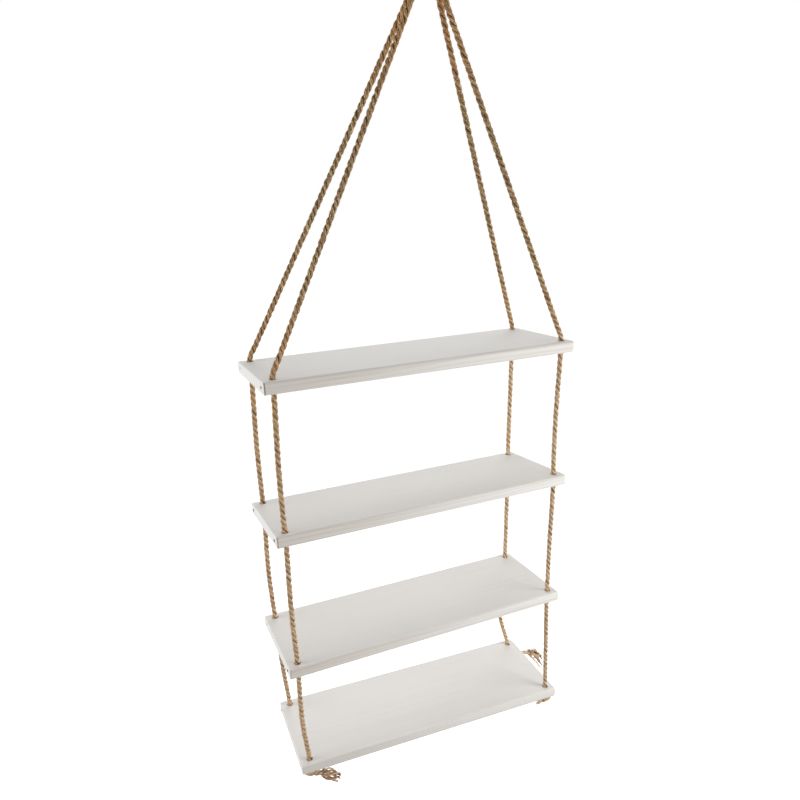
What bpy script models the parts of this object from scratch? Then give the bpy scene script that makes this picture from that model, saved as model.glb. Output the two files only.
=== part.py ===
# Rope hanging shelf: painted boards, one above the other, held by two ropes that run over one hanging point.
# Metres, +Z up, X along the boards, front of the shelf at -Y, origin where the ropes rest on what holds them.
import math
import bpy
import bmesh
from mathutils import Matrix, Vector

# Boards
BOARD_LENGTH = 0.600
BOARD_DEPTH = 0.200
BOARD_THICKNESS = 0.022
LONG_EDGE_RADIUS = 0.0055
LONG_EDGE_STEPS = 4
LEFT_END_RADIUS = 0.0025
RIGHT_END_RADIUS = 0.0045
END_EDGE_STEPS = 3

# Rope, and the holes it runs through
ROPE_RADIUS = 0.005
ROPE_SIDE_STEPS = 2
HOLE_RADIUS = 0.0058
HOLE_SIDES = 16
HOLE_FROM_END = 0.0195
HOLE_FROM_EDGE = 0.0170
ROPE_RISE = 0.005
TOP_BEND_RADIUS = 0.017
ROPE_PAIR_GAP = 0.0004

# Nails that pin the rope, driven in from the boards' ends
CLEARANCE = 0.0003
NAIL_SIDES = 8
NAIL_SHANK_RADIUS = 0.0009
NAIL_HEAD_RADIUS = 0.0026
NAIL_HEAD_HEIGHT = 0.0009

# The knot under the bottom board: a bight, then one turn about the rope's standing part, and the tail
KNOT_STANDING = 0.0105
BIGHT_DEPTH = 0.0072
BIGHT_ANGLES = (180, 225, 270, 315)
BIGHT_ACROSS = 0.0134
TURN_RADIUS = 0.0110
TURN_POINTS = 9
TURN_FIRST = 20
TURN_SWEEP = 200
TURN_LOW = 0.0105
TURN_HIGH = 0.0056
TAIL_PARTS = (0.3, 0.65, 1.0)
FRAY_LONGEST = 0.034
FRAY_SPREAD = 0.85

# How the rope's curve is stepped into straight pieces
CURVE_SAMPLES = 24
EVEN_STEP = 0.002
EASE_PASSES = 6
STEP_LENGTH = 0.050
FRAY_STEP = 0.005
STEP_TURN = math.radians(16)

# Each board as it hangs: its centre, the height of its top, its turn about Z and its slopes along X and Y
BOARDS = (
    # name, centre x, centre y, top z, turn in degrees, slope along x, slope along y
    ("board_top", -0.0376, 0.0146, -0.5960, 0.40, 0.005, -0.021),
    ("board_upper", -0.0408, 0.0114, -0.8726, 0.44, 0.002, -0.080),
    ("board_lower", -0.0389, 0.0134, -1.1405, 0.44, 0.000, -0.015),
    ("board_bottom", -0.0239, 0.0272, -1.3953, -1.52, -0.013, 0.022),
)

# Each side of each rope: how far its run bows out between the boards, and how its knot and tail lie
SIDES = (
    # rope, side (left -1), row (front -1), bows in x from the top run down, knot's hand, tail's angle, length, drop, fray
    ("rope_front", -1, -1, (-0.0020, -0.0020, -0.0045), 1, -10, 0.058, 0.019, 0.034),
    ("rope_front", 1, -1, (-0.0025, -0.0010, 0.0000), -1, 180, 0.012, 0.000, 0.006),
    ("rope_back", -1, 1, (-0.0020, -0.0035, -0.0010), -1, 20, 0.028, 0.008, 0.008),
    ("rope_back", 1, 1, (0.0000, 0.0000, -0.0190), 1, 4, 0.098, 0.027, 0.034),
)

COLOURS = {
    "board": ((0.78, 0.77, 0.74, 1.0), 0.6, 0.0),
    "rope": ((0.42, 0.27, 0.13, 1.0), 0.9, 0.0),
    "nail": ((0.20, 0.12, 0.07, 1.0), 0.45, 1.0),
}


def clear_scene():
    for item in list(bpy.data.objects):
        bpy.data.objects.remove(item, do_unlink=True)


def make_material(name):
    colour, roughness, metallic = COLOURS[name]
    material = bpy.data.materials.new(name)
    material.use_nodes = True
    shader = material.node_tree.nodes["Principled BSDF"]
    shader.inputs["Base Color"].default_value = colour
    shader.inputs["Roughness"].default_value = roughness
    shader.inputs["Metallic"].default_value = metallic
    return material


def add_object(name, data, material=None):
    item = bpy.data.objects.new(name, data)
    bpy.context.scene.collection.objects.link(item)
    if material is not None:
        data.materials.append(material)
    return item


# The board's own shape

def rounded_profile():
    """Corner points of the board's rounded cross-section, in Y and Z, with its top at Z 0."""
    points = []
    half_depth = BOARD_DEPTH / 2 - LONG_EDGE_RADIUS
    low = -BOARD_THICKNESS + LONG_EDGE_RADIUS
    corners = ((half_depth, -LONG_EDGE_RADIUS, 0), (-half_depth, -LONG_EDGE_RADIUS, 90),
               (-half_depth, low, 180), (half_depth, low, 270))
    for centre_y, centre_z, first_angle in corners:
        for step in range(LONG_EDGE_STEPS + 1):
            angle = math.radians(first_angle + 90 * step / LONG_EDGE_STEPS)
            points.append((centre_y + LONG_EDGE_RADIUS * math.cos(angle),
                           centre_z + LONG_EDGE_RADIUS * math.sin(angle)))
    return points


def board_blank():
    """The board before drilling: its cross-section drawn out along X, then the edges round both ends rounded."""
    bm = bmesh.new()
    section = [bm.verts.new((-BOARD_LENGTH / 2, y, z)) for y, z in rounded_profile()]
    end = bm.faces.new(section)
    drawn = bmesh.ops.extrude_face_region(bm, geom=[end])
    far = [item for item in drawn["geom"] if isinstance(item, bmesh.types.BMVert)]
    bmesh.ops.translate(bm, vec=(BOARD_LENGTH, 0, 0), verts=far)
    for side, radius in ((-1, LEFT_END_RADIUS), (1, RIGHT_END_RADIUS)):
        end_plane = BOARD_LENGTH / 2 - CLEARANCE
        rim = [edge for edge in bm.edges if all(vert.co.x * side > end_plane for vert in edge.verts)]
        bmesh.ops.bevel(bm, geom=rim, offset=radius, segments=END_EDGE_STEPS, profile=0.5, affect="EDGES")
    bmesh.ops.recalc_face_normals(bm, faces=bm.faces)
    mesh = bpy.data.meshes.new("board_blank")
    bm.to_mesh(mesh)
    bm.free()
    return mesh


def hole_places():
    """X and Y of the rope holes, from the board's centre."""
    x = BOARD_LENGTH / 2 - HOLE_FROM_END
    y = BOARD_DEPTH / 2 - HOLE_FROM_EDGE
    return [(side * x, row * y) for side in (-1, 1) for row in (-1, 1)]


def cutter(name, build):
    bm = bmesh.new()
    build(bm)
    mesh = bpy.data.meshes.new(name)
    bm.to_mesh(mesh)
    bm.free()
    item = add_object(name, mesh)
    item.hide_render = True
    item.display_type = "WIRE"
    return item


def rope_hole_tools(bm):
    for x, y in hole_places():
        place = Matrix.Translation((x, y, -BOARD_THICKNESS / 2))
        bmesh.ops.create_cone(bm, cap_ends=True, segments=HOLE_SIDES, radius1=HOLE_RADIUS,
                              radius2=HOLE_RADIUS, depth=2 * BOARD_THICKNESS, matrix=place)


def nail_hole_tools(bm):
    length = 2 * HOLE_FROM_END
    for x, y in hole_places():
        place = Matrix.Translation((math.copysign(BOARD_LENGTH / 2, x), y, -BOARD_THICKNESS / 2))
        radius = NAIL_SHANK_RADIUS + CLEARANCE
        bmesh.ops.create_cone(bm, cap_ends=True, segments=NAIL_SIDES, radius1=radius, radius2=radius,
                              depth=length, matrix=place @ Matrix.Rotation(math.pi / 2, 4, "Y"))


def drilled_board():
    """One board mesh with its rope holes and nail holes, shared by all the boards."""
    blank = add_object("board_blank", board_blank())
    tools = [cutter("rope_hole_cutter", rope_hole_tools), cutter("nail_hole_cutter", nail_hole_tools)]
    for tool in tools:
        cut = blank.modifiers.new(tool.name, "BOOLEAN")
        cut.operation = "DIFFERENCE"
        cut.solver = "EXACT"
        cut.object = tool
    graph = bpy.context.evaluated_depsgraph_get()
    mesh = bpy.data.meshes.new_from_object(blank.evaluated_get(graph))
    mesh.name = "board"
    for item in [blank] + tools:
        bpy.data.objects.remove(item, do_unlink=True)
    mesh.shade_smooth()
    mesh.set_sharp_from_angle(angle=math.radians(35))
    return mesh


def board_matrix(board):
    """Where a board hangs: turned about Z and then tilted about the centre of its top."""
    name, x, y, z, turn, slope_x, slope_y = board
    tilt = Matrix.Rotation(math.atan(slope_y), 4, "X") @ Matrix.Rotation(-math.atan(slope_x), 4, "Y")
    return Matrix.Translation((x, y, z)) @ tilt @ Matrix.Rotation(math.radians(turn), 4, "Z")


# Nails

def nail_mesh():
    """A nail along +Z, its head's underside at Z 0 and its shank pointing to +Z, as far as the rope."""
    shank = HOLE_FROM_END - ROPE_RADIUS
    bm = bmesh.new()
    bmesh.ops.create_circle(bm, cap_ends=True, segments=NAIL_SIDES, radius=NAIL_HEAD_RADIUS)
    under = list(bm.faces)
    crown = bmesh.ops.extrude_face_region(bm, geom=under)
    crown_verts = [item for item in crown["geom"] if isinstance(item, bmesh.types.BMVert)]
    bmesh.ops.translate(bm, vec=(0, 0, -NAIL_HEAD_HEIGHT), verts=crown_verts)
    narrowed = NAIL_HEAD_RADIUS - NAIL_SHANK_RADIUS
    bmesh.ops.inset_region(bm, faces=under, thickness=narrowed, use_even_offset=True)
    drawn = bmesh.ops.extrude_face_region(bm, geom=under)
    drawn_verts = [item for item in drawn["geom"] if isinstance(item, bmesh.types.BMVert)]
    bmesh.ops.delete(bm, geom=under, context="FACES_ONLY")
    bmesh.ops.translate(bm, vec=(0, 0, shank), verts=drawn_verts)
    bmesh.ops.recalc_face_normals(bm, faces=bm.faces)
    mesh = bpy.data.meshes.new("nail")
    bm.to_mesh(mesh)
    bm.free()
    return mesh


# Ropes

def smooth_curve(points):
    """Dense points on a smooth curve through the route's own points, close where they are close."""
    padded = [points[0] * 2 - points[1]] + points + [points[-1] * 2 - points[-2]]
    dense = []
    for p0, p1, p2, p3 in zip(padded, padded[1:], padded[2:], padded[3:]):
        t1 = (p1 - p0).length ** 0.5
        t2 = t1 + (p2 - p1).length ** 0.5
        t3 = t2 + (p3 - p2).length ** 0.5
        for step in range(CURVE_SAMPLES):
            t = t1 + (t2 - t1) * step / CURVE_SAMPLES
            a1 = p0.lerp(p1, t / t1)
            a2 = p1.lerp(p2, (t - t1) / (t2 - t1))
            a3 = p2.lerp(p3, (t - t2) / (t3 - t2))
            b1 = a1.lerp(a2, t / t2)
            b2 = a2.lerp(a3, (t - t1) / (t3 - t1))
            dense.append(b1.lerp(b2, (t - t1) / (t2 - t1)))
    dense.append(points[-1])
    return dense


def eased(dense):
    """The same curve in even steps, its sharpest bends rounded off as a stiff rope rounds them."""
    even = [dense[0]]
    for place in dense[1:]:
        while (place - even[-1]).length >= EVEN_STEP:
            even.append(even[-1] + (place - even[-1]).normalized() * EVEN_STEP)
    for _ in range(EASE_PASSES):
        middle = [(a + b * 2 + c) / 4 for a, b, c in zip(even, even[1:], even[2:])]
        even = [even[0]] + middle + [even[-1]]
    return even


def stepped(dense, mouths, frays):
    """Fewer points on the same curve: close where it bends, frays or meets a hole, far apart elsewhere."""
    fixed = {min(range(len(dense)), key=lambda index: (dense[index] - mouth).length) for mouth in mouths}
    kept = [dense[0]]
    way = (dense[1] - dense[0]).normalized()
    for index in range(1, len(dense) - 1):
        here = dense[index]
        heading = (dense[index + 1] - here).normalized()
        in_fray = index * EVEN_STEP < frays[0] or (len(dense) - index) * EVEN_STEP < frays[1]
        far = (here - kept[-1]).length > (FRAY_STEP if in_fray else STEP_LENGTH)
        if index in fixed or far or heading.angle(way) > STEP_TURN:
            kept.append(here)
            way = heading
    kept.append(dense[-1])
    return kept


def hole_mouths(side, row, matrices):
    """The middle of each hole's upper and lower mouth, from the top board down."""
    x = side * (BOARD_LENGTH / 2 - HOLE_FROM_END)
    y = row * (BOARD_DEPTH / 2 - HOLE_FROM_EDGE)
    return [(matrix @ Vector((x, y, 0)), matrix @ Vector((x, y, -BOARD_THICKNESS))) for matrix in matrices]


def knot_route(hole, down, hand, tail_angle, tail_length, tail_drop):
    """From below a hole: a bight, one turn up around the standing part, then the tail."""
    ring = []
    for angle in BIGHT_ANGLES:
        across = BIGHT_ACROSS / 2 * (1 + math.cos(math.radians(angle)))
        ring.append((across, 0.0, KNOT_STANDING - BIGHT_DEPTH * math.sin(math.radians(angle))))
    for step in range(TURN_POINTS):
        part = step / (TURN_POINTS - 1)
        angle = math.radians(TURN_FIRST + TURN_SWEEP * part)
        drawn_in = math.sin(part * math.pi / 2)
        radius = BIGHT_ACROSS + (TURN_RADIUS - BIGHT_ACROSS) * drawn_in
        depth = TURN_LOW + (TURN_HIGH - TURN_LOW) * drawn_in
        ring.append((radius * math.cos(angle), radius * math.sin(angle), depth))
    leave = math.radians(TURN_FIRST + TURN_SWEEP)
    heading = Vector((-math.sin(leave), math.cos(leave), 0))
    last = Vector(ring[-1])
    for part in TAIL_PARTS:
        place = last + heading * tail_length * part
        ring.append((place.x, place.y, place.z + tail_drop * part ** 1.5))
    spin = math.radians(tail_angle) - math.atan2(heading.y, heading.x) * hand
    points = []
    for across, aside, depth in ring:
        flat = Matrix.Rotation(spin, 4, "Z") @ Vector((across, aside * hand, 0))
        points.append(hole + flat + down * depth)
    return points


def side_route(side_row, matrices):
    """A rope's route on one side, from above the top board's hole down to the end of its tail."""
    rope, side, row, bows, hand, tail_angle, tail_length, tail_drop, fray = side_row
    holes = hole_mouths(side, row, matrices)
    points = [holes[0][0].lerp(holes[0][1], -ROPE_RISE / BOARD_THICKNESS)]
    for index, (upper, lower) in enumerate(holes):
        points += [upper, lower]
        if index < len(bows):
            below = holes[index + 1][0]
            middle = lower.lerp(below, 0.55)
            points.append(middle + Vector((bows[index], 0, 0)))
    down = (holes[-1][1] - holes[-1][0]).normalized()
    return points + knot_route(holes[-1][1], down, hand, tail_angle, tail_length, tail_drop)


def top_bend(row, left_hole, right_hole):
    """The rope's bend over the hanging point, from its left leg to its right leg."""
    y = row * (ROPE_RADIUS + ROPE_PAIR_GAP / 2)
    centre = Vector((0, y, ROPE_RADIUS - TOP_BEND_RADIUS))
    points = []
    leg_left = math.atan2(-left_hole.x, centre.z - left_hole.z)
    leg_right = math.atan2(right_hole.x, centre.z - right_hole.z)
    first = math.pi - leg_left
    last = leg_right
    for step in range(7):
        angle = first + (last - first) * step / 6
        points.append(centre + TOP_BEND_RADIUS * Vector((math.cos(angle), 0, math.sin(angle))))
    return points


def rope_points(name, matrices):
    left, right = [row for row in SIDES if row[0] == name]
    down_left = side_route(left, matrices)
    down_right = side_route(right, matrices)
    bend = top_bend(left[2], down_left[0], down_right[0])
    left_leg = [down_left[0].lerp(bend[0], part) for part in (0.05, 0.5, 0.9)]
    right_leg = [bend[-1].lerp(down_right[0], part) for part in (0.1, 0.5, 0.95)]
    return list(reversed(down_left)) + left_leg + bend + right_leg + down_right


def frayed_radius(to_end, fray):
    """How many times its plain radius the rope is, at a distance from an end that is frayed over some length."""
    inside = max(0.0, 1 - to_end / fray)
    return 1 + FRAY_SPREAD * fray / FRAY_LONGEST * math.sin(math.pi * inside ** 0.8)


def rope_object(name, matrices, material):
    """One rope from tail to tail, a round curve with its ends filled and swelling where they are frayed."""
    left, right = [row for row in SIDES if row[0] == name]
    mouths = []
    for side_row in (left, right):
        for pair in hole_mouths(side_row[1], side_row[2], matrices):
            mouths += pair
    frays = (left[-1], right[-1])
    points = stepped(eased(smooth_curve(rope_points(name, matrices))), mouths, frays)
    steps = [(b - a).length for a, b in zip(points, points[1:])]
    data = bpy.data.curves.new(name, "CURVE")
    data.dimensions = "3D"
    data.bevel_depth = ROPE_RADIUS
    data.bevel_resolution = ROPE_SIDE_STEPS
    data.use_fill_caps = True
    spline = data.splines.new("POLY")
    spline.points.add(len(points) - 1)
    for index, point in enumerate(spline.points):
        point.co = (*points[index], 1)
        point.radius = frayed_radius(sum(steps[:index]), frays[0]) * frayed_radius(sum(steps[index:]), frays[1])
    spline.use_smooth = True
    return add_object(name, data, material)


def main():
    clear_scene()
    materials = {name: make_material(name) for name in COLOURS}
    matrices = [board_matrix(board) for board in BOARDS]
    board = drilled_board()
    board.materials.clear()
    board.materials.append(materials["board"])
    nail = nail_mesh()
    nail.materials.append(materials["nail"])
    for row, matrix in zip(BOARDS, matrices):
        name = row[0]
        item = add_object(name, board)
        item.matrix_world = matrix
        for x, y in hole_places():
            side = "right" if x > 0 else "left"
            place = "back" if y > 0 else "front"
            outside = math.copysign(BOARD_LENGTH / 2 + CLEARANCE, x)
            pin = add_object(name.replace("board", "nail") + "_" + side + "_" + place, nail)
            turn = Matrix.Rotation(math.copysign(math.pi / 2, -x), 4, "Y")
            pin.matrix_world = matrix @ Matrix.Translation((outside, y, -BOARD_THICKNESS / 2)) @ turn
    for name in ("rope_front", "rope_back"):
        rope_object(name, matrices, materials["rope"])


if __name__ == "__main__":
    main()
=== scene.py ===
import math
import random

import bmesh
import bpy
import numpy as np
from mathutils import Matrix, Vector


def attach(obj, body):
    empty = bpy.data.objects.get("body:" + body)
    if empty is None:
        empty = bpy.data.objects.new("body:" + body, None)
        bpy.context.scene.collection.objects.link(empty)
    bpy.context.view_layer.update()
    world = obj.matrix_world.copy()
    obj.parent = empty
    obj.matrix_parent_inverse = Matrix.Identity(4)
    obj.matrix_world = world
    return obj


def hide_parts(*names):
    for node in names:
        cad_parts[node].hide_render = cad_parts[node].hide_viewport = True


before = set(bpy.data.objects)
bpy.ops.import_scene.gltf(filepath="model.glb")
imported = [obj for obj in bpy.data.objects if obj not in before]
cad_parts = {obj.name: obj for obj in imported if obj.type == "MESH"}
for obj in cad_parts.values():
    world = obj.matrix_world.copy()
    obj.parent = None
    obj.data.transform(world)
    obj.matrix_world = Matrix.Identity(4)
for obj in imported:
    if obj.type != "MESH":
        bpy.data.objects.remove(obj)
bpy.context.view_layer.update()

bl_info = {
    "name": "Rope hanging shelf",
    "version": (1, 0, 0),
    "blender": (4, 5, 0),
    "location": "3D View > Sidebar > Rope shelf",
    "description": "Whitewashed boards on twisted ropes, with their nails, frayed ends, stage and camera",
    "category": "Add Mesh",
}

# Metres, +Z up, X along the boards, front of the shelf at -Y, origin where the ropes rest on what holds them.

# Boards
BOARD_LENGTH = 0.600
BOARD_DEPTH = 0.200
BOARD_THICKNESS = 0.022
HOLE_RADIUS = 0.0058
HOLE_FROM_END = 0.0195
HOLE_FROM_EDGE = 0.0170

# Rope
ROPE_RADIUS = 0.005
ROPE_RISE = 0.005
TOP_BEND_RADIUS = 0.017
TOP_BEND_STEPS = 6
ROPE_PAIR_GAP = 0.0004

# The knot under the bottom board: a bight, then one turn about the rope's standing part, and the tail
KNOT_STANDING = 0.0105
BIGHT_DEPTH = 0.0072
BIGHT_ANGLES = (180, 225, 270, 315)
BIGHT_ACROSS = 0.0134
TURN_RADIUS = 0.0110
TURN_POINTS = 9
TURN_FIRST = 20
TURN_SWEEP = 200
TURN_LOW = 0.0105
TURN_HIGH = 0.0056
TAIL_PARTS = (0.3, 0.65, 1.0)
FRAY_LONGEST = 0.034

# Strands: waves in their turn about the rope and in their thickness, each of a size and a rate per metre
STRAND_TURN_WAVES = ((0.16, 31), (0.08, 97))
STRAND_SWELL_WAVES = ((0.05, 140), (0.04, 61))
STRAND_SHADES = 0.25
STRAND_SIDE_STEPS = 3

# Frayed ends: how much of one is opened, and how its yarns leave their strands and hang
OPENED_PART = 0.8
YARN_LAY = 0.030
YARN_SHARE = 0.66
YARN_STEPS_PAST_TIP = (-5, 1)
YARN_LEAN = 0.6
YARN_SPREAD = (0.8, 1.5)
YARN_HANG = (0.1, 1.4)
YARN_LAY_KEPT = 0.35
YARN_OPENING = 1.3
YARN_TURN = 1.5
YARN_APART = 0.0010
YARN_APART_OPENED = 0.0026
YARN_DROOPS = {"rope_front": 0.008, "rope_back": 0.012}

# Single yarns that hang from the right tail: steps back from its tip, drop of the start, and end from the tip
LOOSE_YARNS = {
    "rope_back": ((16, -0.010, (-0.014, -0.028, -0.024)), (3, -0.016, (-0.008, -0.025, -0.022)),
                  (0, -0.010, (0.001, -0.011, -0.014)), (12, -0.006, (-0.010, -0.022, -0.018)),
                  (8, 0.004, (0.004, -0.006, -0.010))),
    "rope_front": ((2, -0.002, (-0.018, 0.000, -0.005)), (2, -0.003, (-0.013, -0.001, -0.006)),
                   (3, 0.001, (-0.016, 0.002, -0.003))),
}
LOOSE_YARN_SHARE = 0.92
LOOSE_YARN_STEPS = 14
LOOSE_YARN_ARCH = 0.0015

# How far from the rope's middle its grooves lie, and how much further out its surface is, twisted and opened,
# for the painted shade in the grooves
GROOVE_RADIUS = 0.0018
GROOVE_DEPTH = 0.0030
OPENED_DEPTH = 0.0042

# Stray fibres
FIBRES_ON_A_FRAY = 90
FIBRE_LENGTHS = (0.002, 0.0075)
FIBRE_LIFTS = (0.12, 0.55)
FIBRE_RADII = (0.00006, 0.00013)
FIBRE_ROOT = 0.80
FIBRE_PARTS = (0.35, 0.7, 1.0)
FIBRE_THINNING = 0.55

# How the rope's curve is sampled
CURVE_SAMPLES = 24
EVEN_STEP = 0.002
EASE_PASSES = 6

# Nails
CLEARANCE = 0.0003
NAIL_SIDES = 24
# The domed head's outline, as shares of its radius and height
NAIL_CROWN = ((0.0, 1.0), (0.45, 0.95), (0.80, 0.68), (0.97, 0.30), (1.0, 0.0))

# How finely the boards' edges and holes are rounded, and the angle past which an edge is shaded sharp
LONG_EDGE_STEPS = 7
END_EDGE_STEPS = 4
HOLE_SIDES = 48
SHARP_ANGLE = 50

# The wood: how wide its rings are, how far they wander, how deep the pith lies and how far apart the boards lie
RING_WIDTH = 0.0062
RING_WANDER = 0.030
PITH_BELOW = 0.075
BOARDS_APART = (1.7, 0.013, 0.009)

# Each board as it hangs: its centre, the height of its top, its turn about Z and its slopes along X and Y
BOARDS = (
    # name, centre x, centre y, top z, turn in degrees, slope along x, slope along y
    ("board_top", -0.0376, 0.0146, -0.5960, 0.40, 0.005, -0.021),
    ("board_upper", -0.0408, 0.0114, -0.8726, 0.44, 0.002, -0.080),
    ("board_lower", -0.0389, 0.0134, -1.1405, 0.44, 0.000, -0.015),
    ("board_bottom", -0.0239, 0.0272, -1.3953, -1.52, -0.013, 0.022),
)

# Each side of each rope: how far its run bows out between the boards, and how its knot and tail lie
SIDES = (
    # rope, side (left -1), row (front -1), bows in x from the top run down, and then
    # the knot's hand and the tail's angle, length, drop and fray
    ("rope_front", -1, -1, (-0.0020, -0.0020, -0.0045), 1, -10, 0.058, 0.019, 0.034),
    ("rope_front", 1, -1, (-0.0025, -0.0010, 0.0000), -1, 180, 0.012, 0.000, 0.006),
    ("rope_back", -1, 1, (-0.0020, -0.0035, -0.0010), -1, 20, 0.028, 0.008, 0.008),
    ("rope_back", 1, 1, (0.0000, 0.0000, -0.0190), 1, 4, 0.098, 0.027, 0.034),
)

# Nails whose heads are painted over with the board
PAINTED_NAILS = ("nail_top_left_back", "nail_lower_left_back", "nail_bottom_left_front")

# Camera, fitted to the boards and holes in the photograph
CAMERA_PLACE = (-0.5475, -1.1026, -0.3339)
CAMERA_AZIMUTH = 22.355
CAMERA_LOOKS_DOWN = 19.264
CAMERA_ROLL = -1.889
SENSOR_WIDTH = 36.0
IMAGE_SIDE = 800
FOCAL_PIXELS = 669.4
LENS_CENTRE_X = 386.9
LENS_CENTRE_Y = 436.1

# Lights, all aimed at the middle of the shelf: name, place, width and colour
AIM_POINT = (0.0, 0.0, -1.0)
LIGHTS = (
    ("left_light", (-2.0, 0.5, -0.6), 1.6, (1.0, 1.0, 1.0)),
    ("right_light", (1.2, -1.0, -0.85), 0.8, (1.0, 0.995, 0.98)),
    ("back_light", (0.5, 1.2, 0.3), 1.5, (1.0, 1.0, 1.0)),
)


# Settings

def length_setting(name, description, default, low, high):
    """A length that a user may change."""
    return bpy.props.FloatProperty(name=name, description=description, default=default, min=low, max=high,
                                   unit="LENGTH")


def colour_setting(name, description, default):
    """A colour that a user may change."""
    return bpy.props.FloatVectorProperty(name=name, description=description, default=default, size=3,
                                         min=0.0, max=1.0, subtype="COLOR")


def light_setting(name, description, default):
    """The power of a light that a user may change, in watts."""
    return bpy.props.FloatProperty(name=name, description=description, default=default, min=0.0, max=500.0,
                                   unit="POWER")


class ShelfBoardSettings(bpy.types.PropertyGroup):
    """Sizes and colours of the whitewashed boards."""

    edge_radius: length_setting(
        "Long edge radius", "Rounding of the boards' long edges", 0.0055, 0.0005, 0.01)
    left_end_radius: length_setting(
        "Left end radius", "Rounding of the edges round each board's left end", 0.0025, 0.0002, 0.005)
    right_end_radius: length_setting(
        "Right end radius", "Rounding of the edges round each board's right end", 0.0045, 0.0002, 0.005)
    hole_flare: length_setting(
        "Hole flare", "How far the mouth of each rope hole is countersunk", 0.0005, 0.0, 0.002)
    paint: colour_setting("Paint", "Colour of the thin white paint", (0.84, 0.825, 0.80))
    rubbed_paint: colour_setting(
        "Rubbed paint", "Colour of the paint that the ropes have rubbed round the holes", (0.78, 0.66, 0.50))
    wood: colour_setting("Wood", "Colour of the wood that shows through the paint", (0.52, 0.40, 0.29))
    bare_wood: colour_setting("Bare wood", "Colour of the bare wood inside the holes", (0.58, 0.38, 0.20))
    # Painted shade: colour of the shaded line down the rounded front left corner of each board
    corner_shade_colour: colour_setting(
        "Dark edge", "Colour of the thin dark line down the front left corners", (0.07, 0.055, 0.04))
    grain_show: bpy.props.FloatProperty(
        name="Grain showing", description="How strongly the grain shows through the paint",
        default=0.12, min=0.0, max=1.0, subtype="FACTOR")


class ShelfRopeSettings(bpy.types.PropertyGroup):
    """Make-up and colours of the twisted rope."""

    lay: length_setting(
        "Lay length", "Length of rope in which one strand goes once around", 0.036, 0.015, 0.08)
    strand_radius: length_setting(
        "Strand radius", "Radius of each of the three strands", 0.00250, 0.001, 0.004)
    strand_offset: length_setting(
        "Strand offset", "Distance of each strand's middle from the rope's middle", 0.00270, 0.001, 0.004)
    yarns: bpy.props.IntProperty(
        name="Yarns in a strand", description="Yarns that each strand opens into at a frayed end",
        default=4, min=2, max=8)
    fibres: bpy.props.IntProperty(
        name="Loose fibres", description="Stray fibres that stand off each rope",
        default=2200, min=0, max=6000)
    straw: colour_setting("Straw", "Colour of the rope's palest fibres", (0.98, 0.68, 0.34))
    # Painted light: the palest fibres as lit low down and at the right
    straw_lit_low: colour_setting(
        "Straw low down", "Colour of the palest fibres beside the lower boards", (1.0, 0.87, 0.64))
    golden: colour_setting("Golden", "Colour of most of the rope's fibres", (0.44, 0.190, 0.050))
    # Painted light: most fibres as lit low down and at the right
    golden_lit_low: colour_setting(
        "Golden low down", "Colour of most fibres beside the lower boards", (0.92, 0.57, 0.31))
    weathered: colour_setting(
        "Weathered", "Colour of the greyer stretch of rope above the top board", (0.19, 0.135, 0.065))
    # Painted shade: colour laid in the grooves between the strands
    dark: colour_setting("Dark", "Colour in the grooves between the strands", (0.035, 0.014, 0.005))


class ShelfNailSettings(bpy.types.PropertyGroup):
    """Size and colour of the nails in the boards' ends."""

    head_radius: length_setting("Head radius", "Radius of the nail's head", 0.0026, 0.001, 0.004)
    head_height: length_setting("Head height", "Height of the nail's domed head", 0.0009, 0.0003, 0.002)
    shank_radius: length_setting("Shank radius", "Radius of the nail's shank", 0.0009, 0.0003, 0.002)
    colour: colour_setting("Colour", "Colour of the browned nail head", (0.13, 0.08, 0.05))
    paint: colour_setting("Paint", "Colour of the nails that are painted over", (0.82, 0.80, 0.77))


class ShelfStageSettings(bpy.types.PropertyGroup):
    """The pale floor, the soft lights and the surroundings."""

    floor_height: length_setting(
        "Floor height", "Height of the floor, below the hanging point", -2.1, -4.0, -1.5)
    floor_size: length_setting("Floor size", "Side of the square floor", 60.0, 4.0, 200.0)
    floor_glow: bpy.props.FloatProperty(
        name="Floor glow", description="Light of the floor itself, which makes it look pure white",
        default=0.7, min=0.0, max=2.0)
    ambient: bpy.props.FloatProperty(
        name="Ambient light", description="Strength of the even light from all round",
        default=0.43, min=0.0, max=5.0)
    left_light: light_setting("Left light", "Power of the wide light on the left", 20.0)
    right_light: light_setting("Right light", "Power of the light at the front right", 16.5)
    back_light: light_setting("Back light", "Power of the wide light above and behind", 12.5)


# Where the boards and ropes are

def board_matrix(board):
    """Where a board hangs: turned about Z and then tilted about the centre of its top."""
    name, x, y, z, turn, slope_x, slope_y = board
    tilt = Matrix.Rotation(math.atan(slope_y), 4, "X") @ Matrix.Rotation(-math.atan(slope_x), 4, "Y")
    return Matrix.Translation((x, y, z)) @ tilt @ Matrix.Rotation(math.radians(turn), 4, "Z")


def hole_places():
    """X and Y of the rope holes, from the board's centre."""
    x = BOARD_LENGTH / 2 - HOLE_FROM_END
    y = BOARD_DEPTH / 2 - HOLE_FROM_EDGE
    return [(side * x, row * y) for side in (-1, 1) for row in (-1, 1)]


def hole_mouths(side, row, matrices):
    """The middle of each hole's upper and lower mouth, from the top board down."""
    x = side * (BOARD_LENGTH / 2 - HOLE_FROM_END)
    y = row * (BOARD_DEPTH / 2 - HOLE_FROM_EDGE)
    return [(matrix @ Vector((x, y, 0)), matrix @ Vector((x, y, -BOARD_THICKNESS))) for matrix in matrices]


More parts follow.
